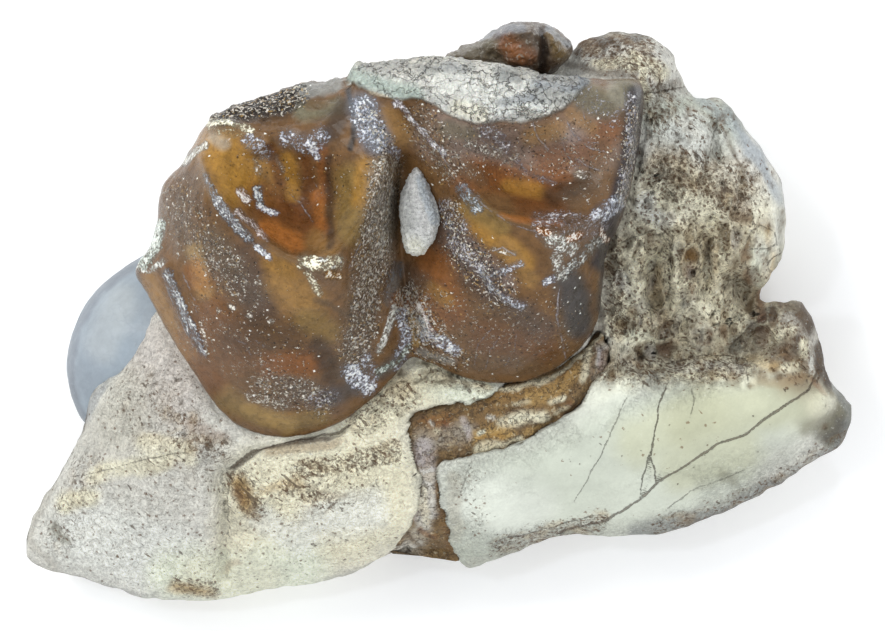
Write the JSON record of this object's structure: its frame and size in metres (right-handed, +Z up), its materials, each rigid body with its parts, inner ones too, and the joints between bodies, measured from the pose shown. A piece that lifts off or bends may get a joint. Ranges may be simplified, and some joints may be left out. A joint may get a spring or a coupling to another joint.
{
  "type": "fossil oreodont jaw fragment",
  "caption": "Broken piece of fossil jaw bone with a brown two-lobed molar in it, pitted bone at one side and hard brown sediment in the break; rests on its flat underside.",
  "frame": {"origin": "centre of the bounding box in plan, at the resting surface", "axes": "+Z up out of the molar's chewing surface, +X along the fragment towards the pitted bone and the pointed end, +Y towards the broken back edge"},
  "size_m": [0.0318, 0.0223, 0.0146],
  "materials": {
    "jaw_bone": "dry mineral bone, cream with brown pits",
    "molar": "glossy brown translucent enamel",
    "tooth_stub": "broken glossy brown enamel",
    "sediment_vein": "hard brown sediment, matte",
    "valley_pebble": "granular lilac-grey sediment, matte",
    "blue_nodule": "smooth waxy blue-grey mineral"
  },
  "bodies": {
    "root": {"jaw_bone": "jaw_bone", "molar": "molar", "tooth_stub": "tooth_stub", "sediment_vein": "sediment_vein", "valley_pebble": "valley_pebble", "blue_nodule": "blue_nodule"}
  },
  "joints": []
}
